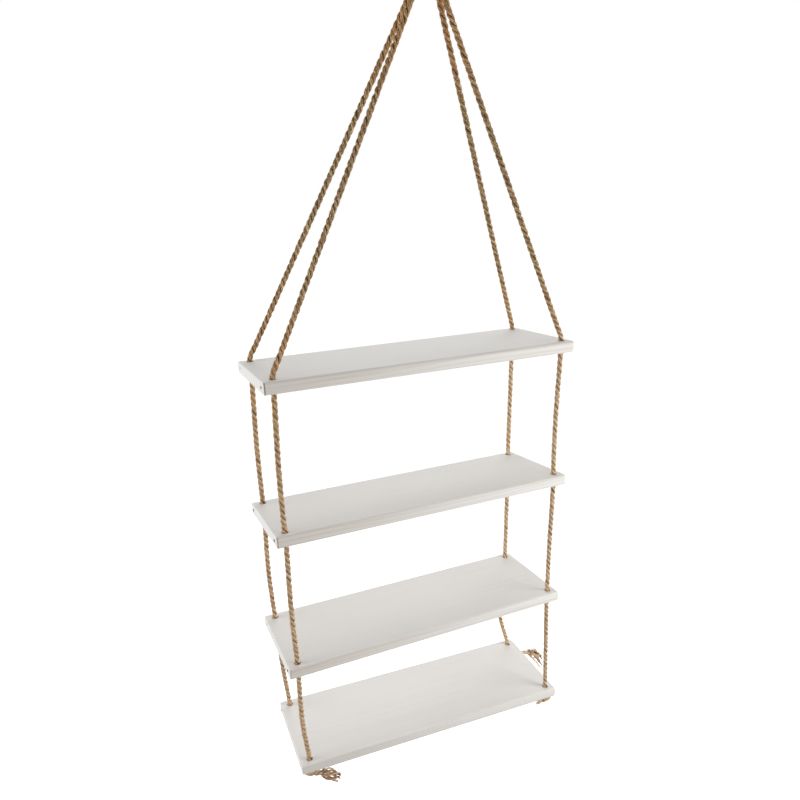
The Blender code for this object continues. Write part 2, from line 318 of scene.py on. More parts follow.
def knot_route(hole, down, hand, tail_angle, tail_length, tail_drop):
    """From below a hole: a bight, one turn up around the standing part, then the tail."""
    ring = []
    for angle in BIGHT_ANGLES:
        across = BIGHT_ACROSS / 2 * (1 + math.cos(math.radians(angle)))
        ring.append((across, 0.0, KNOT_STANDING - BIGHT_DEPTH * math.sin(math.radians(angle))))
    for step in range(TURN_POINTS):
        part = step / (TURN_POINTS - 1)
        angle = math.radians(TURN_FIRST + TURN_SWEEP * part)
        drawn_in = math.sin(part * math.pi / 2)
        radius = BIGHT_ACROSS + (TURN_RADIUS - BIGHT_ACROSS) * drawn_in
        depth = TURN_LOW + (TURN_HIGH - TURN_LOW) * drawn_in
        ring.append((radius * math.cos(angle), radius * math.sin(angle), depth))
    leave = math.radians(TURN_FIRST + TURN_SWEEP)
    heading = Vector((-math.sin(leave), math.cos(leave), 0))
    last = Vector(ring[-1])
    for part in TAIL_PARTS:
        place = last + heading * tail_length * part
        ring.append((place.x, place.y, place.z + tail_drop * part ** 1.5))
    spin = math.radians(tail_angle) - math.atan2(heading.y, heading.x) * hand
    points = []
    for across, aside, depth in ring:
        flat = Matrix.Rotation(spin, 4, "Z") @ Vector((across, aside * hand, 0))
        points.append(hole + flat + down * depth)
    return points


def side_route(side_row, matrices):
    """A rope's route on one side, from above the top board's hole down to the end of its tail."""
    rope, side, row, bows, hand, tail_angle, tail_length, tail_drop, fray = side_row
    holes = hole_mouths(side, row, matrices)
    points = [holes[0][0].lerp(holes[0][1], -ROPE_RISE / BOARD_THICKNESS)]
    for index, (upper, lower) in enumerate(holes):
        points += [upper, lower]
        if index < len(bows):
            below = holes[index + 1][0]
            middle = lower.lerp(below, 0.55)
            points.append(middle + Vector((bows[index], 0, 0)))
    down = (holes[-1][1] - holes[-1][0]).normalized()
    return points + knot_route(holes[-1][1], down, hand, tail_angle, tail_length, tail_drop)


def top_bend(row, left_hole, right_hole):
    """The rope's bend over the hanging point, from its left leg to its right leg."""
    y = row * (ROPE_RADIUS + ROPE_PAIR_GAP / 2)
    centre = Vector((0, y, ROPE_RADIUS - TOP_BEND_RADIUS))
    leg_left = math.atan2(-left_hole.x, centre.z - left_hole.z)
    leg_right = math.atan2(right_hole.x, centre.z - right_hole.z)
    first = math.pi - leg_left
    last = leg_right
    points = []
    for step in range(TOP_BEND_STEPS + 1):
        angle = first + (last - first) * step / TOP_BEND_STEPS
        points.append(centre + TOP_BEND_RADIUS * Vector((math.cos(angle), 0, math.sin(angle))))
    return points


def smooth_curve(points):
    """Dense points on a smooth curve through the route's own points, close where they are close."""
    padded = [points[0] * 2 - points[1]] + points + [points[-1] * 2 - points[-2]]
    dense = []
    for p0, p1, p2, p3 in zip(padded, padded[1:], padded[2:], padded[3:]):
        t1 = (p1 - p0).length ** 0.5
        t2 = t1 + (p2 - p1).length ** 0.5
        t3 = t2 + (p3 - p2).length ** 0.5
        for step in range(CURVE_SAMPLES):
            t = t1 + (t2 - t1) * step / CURVE_SAMPLES
            a1 = p0.lerp(p1, t / t1)
            a2 = p1.lerp(p2, (t - t1) / (t2 - t1))
            a3 = p2.lerp(p3, (t - t2) / (t3 - t2))
            b1 = a1.lerp(a2, t / t2)
            b2 = a2.lerp(a3, (t - t1) / (t3 - t1))
            dense.append(b1.lerp(b2, (t - t1) / (t2 - t1)))
    dense.append(points[-1])
    return dense


def eased(dense):
    """The same curve in even steps, its sharpest bends rounded off as a stiff rope rounds them."""
    even = [dense[0]]
    for place in dense[1:]:
        while (place - even[-1]).length >= EVEN_STEP:
            even.append(even[-1] + (place - even[-1]).normalized() * EVEN_STEP)
    for _ in range(EASE_PASSES):
        middle = [(a + b * 2 + c) / 4 for a, b, c in zip(even, even[1:], even[2:])]
        even = [even[0]] + middle + [even[-1]]
    return even


def rope_sides(name):
    """The left and the right side of a rope."""
    return [row for row in SIDES if row[0] == name]


def rope_middle(name):
    """The rope's centre line from its left tail to its right tail, in steps of about EVEN_STEP."""
    matrices = [board_matrix(board) for board in BOARDS]
    left, right = rope_sides(name)
    down_left = side_route(left, matrices)
    down_right = side_route(right, matrices)
    bend = top_bend(left[2], down_left[0], down_right[0])
    left_leg = [down_left[0].lerp(bend[0], part) for part in (0.05, 0.5, 0.9)]
    right_leg = [bend[-1].lerp(down_right[0], part) for part in (0.1, 0.5, 0.95)]
    route = list(reversed(down_left)) + left_leg + bend + right_leg + down_right
    return eased(smooth_curve(route))


# Shared mesh work

def mesh_from(bm, name):
    """The shape as a mesh, its faces turned outwards."""
    bmesh.ops.recalc_face_normals(bm, faces=bm.faces)
    mesh = bpy.data.meshes.new(name)
    bm.to_mesh(mesh)
    bm.free()
    return mesh


def finish_piece(name, mesh, material, slot_name, *nodes):
    """The mesh as a piece of the shelf, riding on its one body and standing for its plain solids."""
    mesh.name = name
    mesh.materials.clear()
    mesh.materials.append(material)
    piece = bpy.data.objects.new(name, mesh)
    bpy.context.scene.collection.objects.link(piece)
    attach(piece, "root")
    if nodes:
        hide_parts(*nodes)
    return piece


def tubes(name, runs, side_steps):
    """Round tubes along runs of (place, radius), and each vertex's run, step along it and angle around it."""
    data = bpy.data.curves.new(name, "CURVE")
    data.dimensions = "3D"
    data.bevel_depth = 1.0
    data.bevel_resolution = side_steps
    data.use_fill_caps = True
    for run in runs:
        spline = data.splines.new("POLY")
        spline.points.add(len(run) - 1)
        spline.points.foreach_set("co", [value for place, _ in run for value in (*place, 1.0)])
        spline.points.foreach_set("radius", [radius for _, radius in run])
        spline.use_smooth = True
    holder = bpy.data.objects.new(name, data)
    bpy.context.scene.collection.objects.link(holder)
    mesh = bpy.data.meshes.new_from_object(holder.evaluated_get(bpy.context.evaluated_depsgraph_get()))
    bpy.data.objects.remove(holder, do_unlink=True)
    sides = 4 + 2 * side_steps
    ends = [(index, step) for index in reversed(range(len(runs))) for step in (len(runs[index]) - 1, 0)]
    rings = ends + [(index, step) for index in range(len(runs)) for step in range(len(runs[index]))]
    around = np.tile(np.arange(sides) * math.tau / sides, len(rings))
    run_of = np.repeat([index for index, _ in rings], sides)
    step_of = np.repeat([step for _, step in rings], sides)
    return mesh, run_of, step_of, around


def store(mesh, name, values):
    """A number or a vector on each vertex of the mesh, for its material to read."""
    kind, field = ("FLOAT_VECTOR", "vector") if values.ndim == 2 else ("FLOAT", "value")
    layer = mesh.attributes.new(name, kind, "POINT")
    layer.data.foreach_set(field, values.astype(np.float32).ravel())


def close_ends(mesh):
    """Joins each tube's end caps to its wall, and turns every face outwards."""
    bm = bmesh.new()
    bm.from_mesh(mesh)
    bmesh.ops.remove_doubles(bm, verts=bm.verts, dist=1e-7)
    bmesh.ops.recalc_face_normals(bm, faces=bm.faces)
    bm.to_mesh(mesh)
    bm.free()
    mesh.shade_smooth()


def travelling_axes(middle):
    """At each point of a line, its direction and two directions across it that turn as little as they can."""
    ways = [(b - a).normalized() for a, b in zip(middle, middle[1:])]
    ways = [ways[0]] + [(a + b).normalized() for a, b in zip(ways, ways[1:])] + [ways[-1]]
    across = ways[0].orthogonal().normalized()
    axes = []
    for way in ways:
        across = (across - way * across.dot(way)).normalized()
        axes.append((way, across, way.cross(across)))
    return axes


# Shader nodes

def put(tree, kind, inputs=None, **settings):
    """A shader node with these settings, its inputs given values or joined to other nodes' outputs."""
    made = tree.nodes.new(kind)
    for name, value in settings.items():
        setattr(made, name, value)
    for name, value in (inputs or {}).items():
        if isinstance(value, bpy.types.NodeSocket):
            tree.links.new(value, made.inputs[name])
        else:
            made.inputs[name].default_value = value
    return made


def sums(tree, operation, *values, clamp=False):
    """The outcome of one sum on numbers or outputs."""
    made = put(tree, "ShaderNodeMath", dict(enumerate(values)), operation=operation, use_clamp=clamp)
    return made.outputs[0]


def times(tree, first, second, clamp=False):
    """Two numbers or outputs multiplied."""
    return sums(tree, "MULTIPLY", first, second, clamp=clamp)


def scaled(tree, value, factor, added, clamp=False):
    """A number or output multiplied by a factor, with another added."""
    return sums(tree, "MULTIPLY_ADD", value, factor, added, clamp=clamp)


def ramp(tree, value, low, high):
    """0 where the value is at low or short of it, 1 at high or past it; low may be the greater of the two."""
    made = put(tree, "ShaderNodeMapRange", {"Value": value, "From Min": low, "From Max": high},
               interpolation_type="SMOOTHSTEP")
    return made.outputs["Result"]


def blend(tree, amount, first, second, mode="MIX"):
    """Two colours mixed by an amount."""
    made = put(tree, "ShaderNodeMix", {0: amount}, data_type="RGBA", blend_type=mode)
    for socket, value in ((made.inputs[6], first), (made.inputs[7], second)):
        if isinstance(value, bpy.types.NodeSocket):
            tree.links.new(value, socket)
        else:
            socket.default_value = (*value, 1.0)
    return made.outputs[2]


def stretched(tree, place, scale):
    """A place scaled by its own amount along each axis."""
    return put(tree, "ShaderNodeMapping", {"Vector": place, "Scale": scale}).outputs[0]


def noise(tree, place, scale, detail=2.0, rough=0.5):
    """Soft random values, about 0.5 on average."""
    inputs = {"Vector": place, "Scale": scale, "Detail": detail, "Roughness": rough}
    return put(tree, "ShaderNodeTexNoise", inputs).outputs["Fac"]


def attribute(tree, name):
    """The node that reads an attribute which the script stored on the mesh."""
    return put(tree, "ShaderNodeAttribute", attribute_name=name)


def parts(tree, vector):
    """The X, Y and Z of a vector."""
    return put(tree, "ShaderNodeSeparateXYZ", {0: vector}).outputs


def distance(tree, first, second):
    """How far a point is from nought, from two coordinates."""
    squares = [sums(tree, "POWER", value, 2.0) for value in (first, second)]
    return sums(tree, "SQRT", sums(tree, "ADD", *squares))


def relief(tree, shader, height, strength, depth):
    """Gives a shader's surface fine relief from a height."""
    bump = put(tree, "ShaderNodeBump", {"Height": height, "Strength": strength, "Distance": depth})
    tree.links.new(bump.outputs[0], shader.inputs["Normal"])


def new_material(name):
    """An empty material with a Principled shader joined to its output."""
    material = bpy.data.materials.new(name)
    material.use_nodes = True
    tree = material.node_tree
    return material, tree, tree.nodes["Principled BSDF"]


def mottle_group():
    """Node group of soft mottling: broad clouds with fine specks in them, as dust and uneven colour make."""
    name = "soft mottle"
    if name in bpy.data.node_groups:
        return bpy.data.node_groups[name]
    tree = bpy.data.node_groups.new(name, "ShaderNodeTree")
    tree.interface.new_socket("Place", in_out="INPUT", socket_type="NodeSocketVector")
    tree.interface.new_socket("Clouds", in_out="INPUT", socket_type="NodeSocketFloat")
    tree.interface.new_socket("Specks", in_out="INPUT", socket_type="NodeSocketFloat")
    tree.interface.new_socket("Mottle", in_out="OUTPUT", socket_type="NodeSocketFloat")
    given = tree.nodes.new("NodeGroupInput")
    result = tree.nodes.new("NodeGroupOutput")
    clouds = noise(tree, given.outputs["Place"], given.outputs["Clouds"], 2.0)
    specks = noise(tree, given.outputs["Place"], given.outputs["Specks"], 3.0, 0.6)
    both = scaled(tree, specks, 0.35, times(tree, clouds, 0.65))
    tree.links.new(both, result.inputs["Mottle"])
    return tree


def mottle(tree, place, clouds, specks):
    """The soft mottle group placed in a material, with its own sizes of cloud and speck."""
    made = put(tree, "ShaderNodeGroup", node_tree=mottle_group())
    tree.links.new(place, made.inputs["Place"])
    made.inputs["Clouds"].default_value = clouds
    made.inputs["Specks"].default_value = specks
    return made.outputs["Mottle"]


# Materials

def whitewash_material(settings):
    """Thin white paint on solid wood: grain faintly showing, worn edges darkened towards the left by painted
    shade, a painted shade line down the front left corners, bare wood in the holes.
    """
    material, tree, shader = new_material("whitewashed wood")
    place = attribute(tree, "board_place").outputs["Vector"]
    number = attribute(tree, "board_number").outputs["Fac"]
    steps = {axis: times(tree, number, step) for axis, step in enumerate(BOARDS_APART)}
    apart = put(tree, "ShaderNodeCombineXYZ", steps).outputs[0]
    wood_place = put(tree, "ShaderNodeVectorMath", {0: place, 1: apart}, operation="ADD").outputs[0]

    # The grain: rings about a pith below the board, pores, streaks and brush marks along it
    warp = noise(tree, stretched(tree, wood_place, (2.2, 14.0, 14.0)), 1.0, 2.0)
    in_wood = parts(tree, wood_place)
    ring_y = scaled(tree, warp, RING_WANDER, in_wood[1])
    ring_z = sums(tree, "ADD", in_wood[2], PITH_BELOW)
    turns = times(tree, distance(tree, ring_y, ring_z), math.tau / RING_WIDTH)
    rings = scaled(tree, sums(tree, "SINE", turns), 0.5, 0.5)
    late_wood = sums(tree, "POWER", rings, 3.0)
    pores = noise(tree, stretched(tree, wood_place, (9.0, 620.0, 620.0)), 1.0, 3.0, 0.6)
    streaks = noise(tree, stretched(tree, wood_place, (3.0, 90.0, 90.0)), 1.0, 3.0, 0.55)
    brush = noise(tree, stretched(tree, wood_place, (14.0, 260.0, 260.0)), 1.0, 4.0, 0.6)
    uneven = mottle(tree, wood_place, 9.0, 120.0)

    # Where on the board: by its ends and edges, at its front left corner, in its holes and round their mouths
    on_board = parts(tree, place)
    from_middle = parts(tree, put(tree, "ShaderNodeVectorMath", {0: place}, operation="ABSOLUTE").outputs[0])
    to_end = sums(tree, "SUBTRACT", BOARD_LENGTH / 2, from_middle[0])
    to_front = sums(tree, "SUBTRACT", BOARD_DEPTH / 2, from_middle[1])
    on_end = ramp(tree, to_end, 0.0004, 0.00005)
    on_front = ramp(tree, to_front, 0.0045, 0.0010)
    at_left = ramp(tree, on_board[0], -0.20, -0.29)
    at_front = ramp(tree, on_board[1], -0.0955, -0.0985)
    # Painted shade: a thin dark line down each board's rounded front left corner, weaker on the lower boards
    corner = times(tree, ramp(tree, to_end, 0.0006, 0.0014), ramp(tree, to_end, 0.0034, 0.0020))
    less_lower = times(tree, ramp(tree, number, 4.4, 0.0), 0.85)
    painted_corner_shade = times(tree, times(tree, at_left, at_front), corner)
    painted_corner_shade = times(tree, painted_corner_shade, less_lower)
    hole_x = sums(tree, "SUBTRACT", from_middle[0], BOARD_LENGTH / 2 - HOLE_FROM_END)
    hole_y = sums(tree, "SUBTRACT", from_middle[1], BOARD_DEPTH / 2 - HOLE_FROM_EDGE)
    from_hole = distance(tree, hole_x, hole_y)
    in_hole = ramp(tree, from_hole, HOLE_RADIUS + 0.0007, HOLE_RADIUS + 0.0002)
    round_mouth = ramp(tree, from_hole, HOLE_RADIUS + 0.0030, HOLE_RADIUS + 0.0004)

    # The paint lets more of the grain show at the long edges and less on the ends
    shows = times(tree, ramp(tree, streaks, 0.42, 0.75), 0.75)
    shows = scaled(tree, late_wood, 0.55, shows)
    patches = scaled(tree, uneven, 0.9, times(tree, on_front, 2.0))
    shows = times(tree, shows, patches)
    shows = times(tree, shows, scaled(tree, on_end, -0.7, 1.0))
    shows = times(tree, shows, settings.grain_show, clamp=True)
    # Wear on the long edges, with painted shade: darker towards each board's left end, as if the light came
    # from the right
    worn_and_shaded = times(tree, on_front, ramp(tree, on_board[0], 0.10, -0.30))
    bare = blend(tree, rings, settings.bare_wood, tuple(value * 0.7 for value in settings.bare_wood))
    colour = blend(tree, shows, settings.paint, settings.wood)
    colour = blend(tree, times(tree, worn_and_shaded, 0.22), colour, settings.wood)
    colour = blend(tree, times(tree, round_mouth, 0.30), colour, settings.rubbed_paint)
    # Painted shade down the front left corners
    colour = blend(tree, painted_corner_shade, colour, settings.corner_shade_colour)
    colour = blend(tree, in_hole, colour, bare)
    tree.links.new(colour, shader.inputs["Base Color"])
    tree.links.new(scaled(tree, uneven, 0.22, 0.50), shader.inputs["Roughness"])
    shader.inputs["Specular IOR Level"].default_value = 0.35
    height = scaled(tree, brush, 0.6, times(tree, late_wood, 0.25))
    height = scaled(tree, pores, 0.45, height)
    relief(tree, shader, height, 0.35, 0.0004)
    return material


def rope_material(settings):
    """Twisted natural fibre: yarns in each strand, fine fibres along them, painted shade in the grooves between
    strands.
    """
    material, tree, shader = new_material("twisted natural fibre")
    place = attribute(tree, "yarn_place").outputs["Vector"]
    outward = attribute(tree, "outward").outputs["Fac"]
    own = attribute(tree, "own_shade").outputs["Fac"]
    x, _, z = parts(tree, put(tree, "ShaderNodeTexCoord").outputs["Object"])
    across, aside, _ = parts(tree, place)
    around = sums(tree, "ARCTAN2", aside, across)
    yarn = sums(tree, "COSINE", times(tree, around, 5.0))
    yarn = scaled(tree, yarn, 0.5, 0.5)
    fibres = noise(tree, stretched(tree, place, (2.4, 2.4, 70.0)), 1.0, 4.0, 0.65)
    fine = noise(tree, stretched(tree, place, (7.0, 7.0, 160.0)), 1.0, 3.0, 0.6)
    flecks = noise(tree, stretched(tree, place, (3.2, 3.2, 420.0)), 1.0, 2.0, 0.5)
    tint = mottle(tree, stretched(tree, place, (0.012, 0.012, 1.0)), 60.0, 420.0)

    # Painted light: paler and pinker low down and towards the right, where more light falls; greyer above the
    # top board
    painted_light_right = times(tree, ramp(tree, x, -0.10, 0.20), ramp(tree, z, -0.45, -0.70))
    painted_light_low = times(tree, ramp(tree, z, -0.28, -1.15), 0.75)
    painted_light_low = scaled(tree, painted_light_right, 0.60, painted_light_low, clamp=True)
    above = times(tree, ramp(tree, z, -0.06, -0.24), ramp(tree, z, -0.55, -0.42))
    golden = blend(tree, painted_light_low, settings.golden, settings.golden_lit_low)
    golden = blend(tree, times(tree, above, 0.75), golden, settings.weathered)
    straw = blend(tree, painted_light_low, settings.straw, settings.straw_lit_low)
    lightness = scaled(tree, fibres, 0.6, tint)
    lightness = scaled(tree, flecks, 1.2, lightness)
    lightness = scaled(tree, own, 0.14, lightness)
    colour = blend(tree, ramp(tree, lightness, 1.27, 1.64), golden, straw)

    # Painted shade in the grooves, less so between the yarns; darker too in the darkest fibres and flecks
    painted_groove_shade = times(tree, ramp(tree, outward, 0.98, 0.25), 0.92)
    painted_yarn_gap_shade = times(tree, ramp(tree, yarn, 0.45, 0.0), 0.5)
    shade = sums(tree, "MAXIMUM", painted_groove_shade, painted_yarn_gap_shade)
    shade = scaled(tree, ramp(tree, fine, 0.52, 0.30), 0.35, shade)
    shade = scaled(tree, ramp(tree, own, -0.45, -1.0), 0.35, shade)
    shade = scaled(tree, ramp(tree, flecks, 0.47, 0.34), 0.50, shade, clamp=True)
    colour = blend(tree, shade, colour, settings.dark)
    tree.links.new(colour, shader.inputs["Base Color"])
    shader.inputs["Roughness"].default_value = 0.62
    shader.inputs["Specular IOR Level"].default_value = 0.4
    height = scaled(tree, fibres, 0.5, times(tree, fine, 0.35))
    height = scaled(tree, yarn, 0.7, height)
    relief(tree, shader, height, 0.8, 0.0006)
    return material


def fibre_material(settings):
    """Single dry fibres, each a little different in colour."""
    material, tree, shader = new_material("loose fibre")
    place = put(tree, "ShaderNodeTexCoord").outputs["Object"]
    tint = mottle(tree, place, 180.0, 900.0)
    colour = blend(tree, ramp(tree, tint, 0.35, 0.65), settings.golden, settings.straw)
    tree.links.new(colour, shader.inputs["Base Color"])
    shader.inputs["Roughness"].default_value = 0.7
    shader.inputs["Specular IOR Level"].default_value = 0.25
    return material


def nail_material(settings):
    """Dull browned steel with darker spots."""
    material, tree, shader = new_material("browned steel")
    place = put(tree, "ShaderNodeTexCoord").outputs["Object"]
    spots = mottle(tree, place, 700.0, 2600.0)
    painted = attribute(tree, "painted").outputs["Fac"]
    dark_spot = tuple(value * 0.55 for value in settings.colour)
    colour = blend(tree, ramp(tree, spots, 0.40, 0.62), dark_spot, settings.colour)
    colour = blend(tree, painted, colour, settings.paint)
    tree.links.new(colour, shader.inputs["Base Color"])
    tree.links.new(scaled(tree, spots, 0.35, 0.30), shader.inputs["Roughness"])
    tree.links.new(scaled(tree, painted, -0.6, 0.6), shader.inputs["Metallic"])
    relief(tree, shader, spots, 0.4, 0.0002)
    return material


def floor_material(settings):
    """Plain pale floor with a faint unevenness, lit from within as a light table is."""
    material, tree, shader = new_material("pale floor")
    shader.inputs["Emission Color"].default_value = (1.0, 1.0, 1.0, 1.0)
    shader.inputs["Emission Strength"].default_value = settings.floor_glow
    place = put(tree, "ShaderNodeTexCoord").outputs["Object"]
    shade = ramp(tree, mottle(tree, place, 1.5, 12.0), 0.2, 0.8)
    colour = blend(tree, shade, (0.93, 0.93, 0.93), (0.96, 0.96, 0.96))
    tree.links.new(colour, shader.inputs["Base Color"])
    shader.inputs["Roughness"].default_value = 0.9
    shader.inputs["Specular IOR Level"].default_value = 0.0
    return material


# Ropes

def waves(along, table, *phases):
    """The sum of a table's waves at a place along the rope."""
    return sum(size * math.sin(along * rate + phase) for (size, rate), phase in zip(table, phases))


def strand_runs(middle, axes, settings, draw):
    """The three strands of a rope, wound left-handed about its centre line."""
    phases = [draw.uniform(0, math.tau) for _ in range(6)]
    runs = []
    for strand in range(3):
        first, second = phases[strand], phases[strand + 3]
        run = []
        for step, (place, (_, across, aside)) in enumerate(zip(middle, axes)):
            along = step * EVEN_STEP
            angle = math.tau * (strand / 3 - along / settings.lay)
            angle += waves(along, STRAND_TURN_WAVES, first, second)
            swell = 1 + waves(along, STRAND_SWELL_WAVES, first * 3, second)
            offset = (across * math.cos(angle) + aside * math.sin(angle)) * settings.strand_offset
            run.append((place + offset, settings.strand_radius * swell))
        runs.append(run)
    return runs


def opened_by(part):
    """How far open a frayed end is at a part of its length: closed where it starts, nearly so at its tip."""
    return math.sin(math.pi * min(1.0, part) ** 0.62 * 0.96)


def yarn_runs(middle, axes, from_left, length, droop, settings, draw):
    """The yarns of a frayed end, loosened out of the three strands and drooping towards their tips."""
    count = int(length / EVEN_STEP) + 3
    last = len(middle) - 1
    first_along = (count - 1 if from_left else last + 1 - count) * EVEN_STEP
    runs = []
    for strand in range(3):
        for yarn in range(settings.yarns):
            past_tip = draw.randint(*YARN_STEPS_PAST_TIP)
            lean = draw.uniform(-YARN_LEAN, YARN_LEAN)
            spread = draw.uniform(*YARN_SPREAD)
            hang = droop * draw.uniform(*YARN_HANG)
            own = math.tau * yarn / settings.yarns + draw.uniform(-0.3, 0.3)
            run = []
            for back in range(count + past_tip):
                from_tip = count - 1 - back
                step = max(0, from_tip) if from_left else last - max(0, from_tip)
                way, across, aside = axes[step]
                outward = -way if from_left else way
                place = middle[step] + outward * max(0, -from_tip) * EVEN_STEP
                part = back / (count - 1)
                opened = opened_by(part) * spread
                laid = first_along + (step * EVEN_STEP - first_along) * YARN_LAY_KEPT
                angle = math.tau * (strand / 3 - laid / settings.lay) + lean * part
                place += (across * math.cos(angle) + aside * math.sin(angle)) * (
                    settings.strand_offset * (1 + YARN_OPENING * opened))
                turn = own + YARN_TURN * part
                place += (across * math.cos(turn) + aside * math.sin(turn)) * (
                    YARN_APART + YARN_APART_OPENED * opened)
                place.z -= hang * part ** 1.4
                uneven = 1 + 0.12 * math.sin(back * 1.7 + own)
                run.append((place, settings.strand_radius * YARN_SHARE * uneven))
            runs.append(run)
    return runs


def loose_yarn(start, end, radius):
    """A single yarn that has come away, slightly arched between its two ends and thinner towards its tip."""
    run = []
    for step in range(LOOSE_YARN_STEPS + 1):
        part = step / LOOSE_YARN_STEPS
        place = start.lerp(end, part)
        place.z += LOOSE_YARN_ARCH * 4 * part * (1 - part)
        place.x += 0.0006 * math.sin(part * 17 + start.x * 900)
        run.append((place, radius * (1 + 0.15 * math.sin(part * 23)) * (1 - 0.35 * part)))
    return run


def mark_rope(mesh, run_of, step_of, around, middle, run_steps, draw):
    """Stores on each vertex where it lies on its yarn, how far out of the rope it is, and its yarn's shade."""
    starts, signs = np.array(run_steps).T
    along = (starts[run_of] + signs[run_of] * step_of) * EVEN_STEP
    angle = around + math.tau * along / YARN_LAY
    # Each run reads its own stretch of the pattern, 11 m from the last
    store(mesh, "yarn_place", np.stack([np.cos(angle), np.sin(angle), along + run_of * 11.0], axis=1))
    flat = np.zeros(len(mesh.vertices) * 3, np.float32)
    mesh.vertices.foreach_get("co", flat)
    centre = np.array([tuple(place) for place in middle])
    nearest = np.clip(np.round(along / EVEN_STEP).astype(int), 0, len(middle) - 1)
    out = np.linalg.norm(flat.reshape(-1, 3) - centre[nearest], axis=1)
    depth = np.where(run_of >= 3, OPENED_DEPTH, GROOVE_DEPTH)
    store(mesh, "outward", np.clip((out - GROOVE_RADIUS) / depth, 0, 1))
    shades = [draw.uniform(-STRAND_SHADES, STRAND_SHADES) for _ in range(3)]
    shades += [draw.uniform(-1, 1) for _ in run_steps[3:]]
    store(mesh, "own_shade", np.array(shades)[run_of])


def twist_rope(name, settings):
    """One rope: three strands wound together, opened into yarns at its long frays."""
    draw = random.Random(name)
    middle = rope_middle(name)
    axes = travelling_axes(middle)
    sides = [(row[-1], row[1] < 0) for row in rope_sides(name) if row[-1] == FRAY_LONGEST]
    strands = strand_runs(middle, axes, settings, draw)
    last = len(middle) - 1
    cut = int(OPENED_PART * FRAY_LONGEST / EVEN_STEP)
    left_cut = cut if any(from_left for _, from_left in sides) else 0
    right_cut = cut if any(not from_left for _, from_left in sides) else 0
    runs = [run[left_cut:last + 1 - right_cut] for run in strands]
    run_steps = [(left_cut, 1)] * 3
    for length, from_left in sides:
        opened = yarn_runs(middle, axes, from_left, length, YARN_DROOPS[name], settings, draw)
        runs += opened
        first = int(length / EVEN_STEP) + 2
        run_steps += [(first, -1) if from_left else (last - first, 1)] * len(opened)
    for back, drop, offset in LOOSE_YARNS[name]:
        start = middle[last - back] + Vector((0, 0, drop))
        end = middle[last] + Vector(offset)
        runs.append(loose_yarn(start, end, settings.strand_radius * LOOSE_YARN_SHARE))
        run_steps.append((last - LOOSE_YARN_STEPS, 1))
    mesh, run_of, step_of, around = tubes(name, runs, STRAND_SIDE_STEPS)
    mark_rope(mesh, run_of, step_of, around, middle, run_steps, draw)
    close_ends(mesh)
    return mesh


def fibre_mesh(name, settings):
    """Stray fibres that stand off a rope, thick on its tails."""
    draw = random.Random(name + " fibres")
    middle = rope_middle(name)
    axes = travelling_axes(middle)
    left, right = rope_sides(name)
    last = len(middle) - 1
    starts = [draw.randint(8, last - 8) for _ in range(settings.fibres)]
    for row, tip in ((left, 0), (right, last)):
        fray = int(row[-1] / EVEN_STEP)
        starts += [abs(tip - draw.randint(1, fray + 2)) for _ in range(FIBRES_ON_A_FRAY)]
    runs = []
    for start in starts:
        way, across, aside = axes[start]
        angle = draw.uniform(0, math.tau)
        out = across * math.cos(angle) + aside * math.sin(angle)
        twist = way.cross(out)
        length = draw.uniform(*FIBRE_LENGTHS)
        lift = draw.uniform(*FIBRE_LIFTS)
        sense = draw.choice((-1, 1))
        heading = (way * sense + twist * draw.uniform(-0.6, 0.2) * sense + out * lift).normalized()
        bend = (out * draw.uniform(-0.3, 0.5) + twist * draw.uniform(-0.5, 0.5)) * length
        root = middle[start] + out * ROPE_RADIUS * FIBRE_ROOT
        radius = draw.uniform(*FIBRE_RADII)
        run = [(root, radius)]
        for part in FIBRE_PARTS:
            place = root + heading * length * part + bend * part * part
            run.append((place, radius * (1 - FIBRE_THINNING * part)))
        runs.append(run)
    mesh = tubes(name, runs, 0)[0]
    close_ends(mesh)
    return mesh


class SHELF_OT_twist_ropes(bpy.types.Operator):
    """Twist the two ropes, each of three strands, with its frayed ends"""

    bl_idname = "shelf.twist_ropes"
    bl_label = "Twist the ropes"
    bl_options = {"REGISTER", "UNDO"}

    def execute(self, context):
        settings = context.scene.shelf_rope
        material = rope_material(settings)
        for name in ("rope_front", "rope_back"):
            finish_piece(name + "_twisted", twist_rope(name, settings), material, "rope", name)
        return {"FINISHED"}


class SHELF_OT_raise_fibres(bpy.types.Operator):
    """Raise the stray fibres that make the ropes look dry and rough"""

    bl_idname = "shelf.raise_fibres"
    bl_label = "Raise loose fibres"
    bl_options = {"REGISTER", "UNDO"}

    def execute(self, context):
        settings = context.scene.shelf_rope
        material = fibre_material(settings)
        for name in ("rope_front", "rope_back"):
            finish_piece(name + "_fibres", fibre_mesh(name, settings), material, "rope")
        return {"FINISHED"}


# Boards

def hole_cutter(settings):
    """A round bar for each rope hole, widening at both faces of the board so that the mouths are eased."""
    flare = settings.hole_flare
    profile = [(0.002, flare * 2.4), (0.0, flare), (-flare * 0.5, flare * 0.35), (-flare * 1.6, 0.0)]
    rows = profile + [(-BOARD_THICKNESS - height, width) for height, width in reversed(profile)]
    bm = bmesh.new()
    for x, y in hole_places():
        radius = HOLE_RADIUS + rows[0][1]
        top = Matrix.Translation((x, y, rows[0][0]))
        ring = bmesh.ops.create_circle(bm, cap_ends=True, segments=HOLE_SIDES, radius=radius, matrix=top)
        face = ring["verts"][0].link_faces[0]
        for (above, _), (height, width) in zip(rows, rows[1:]):
            face = bmesh.ops.extrude_discrete_faces(bm, faces=[face])["faces"][0]
            grow = (HOLE_RADIUS + width) / radius
            radius = HOLE_RADIUS + width
            bmesh.ops.scale(bm, vec=(grow, grow, 1), verts=face.verts, space=Matrix.Translation((-x, -y, 0)))
            bmesh.ops.translate(bm, vec=(0, 0, height - above), verts=face.verts)
    bmesh.ops.holes_fill(bm, edges=bm.edges, sides=0)
    return mesh_from(bm, "hole_cutter")


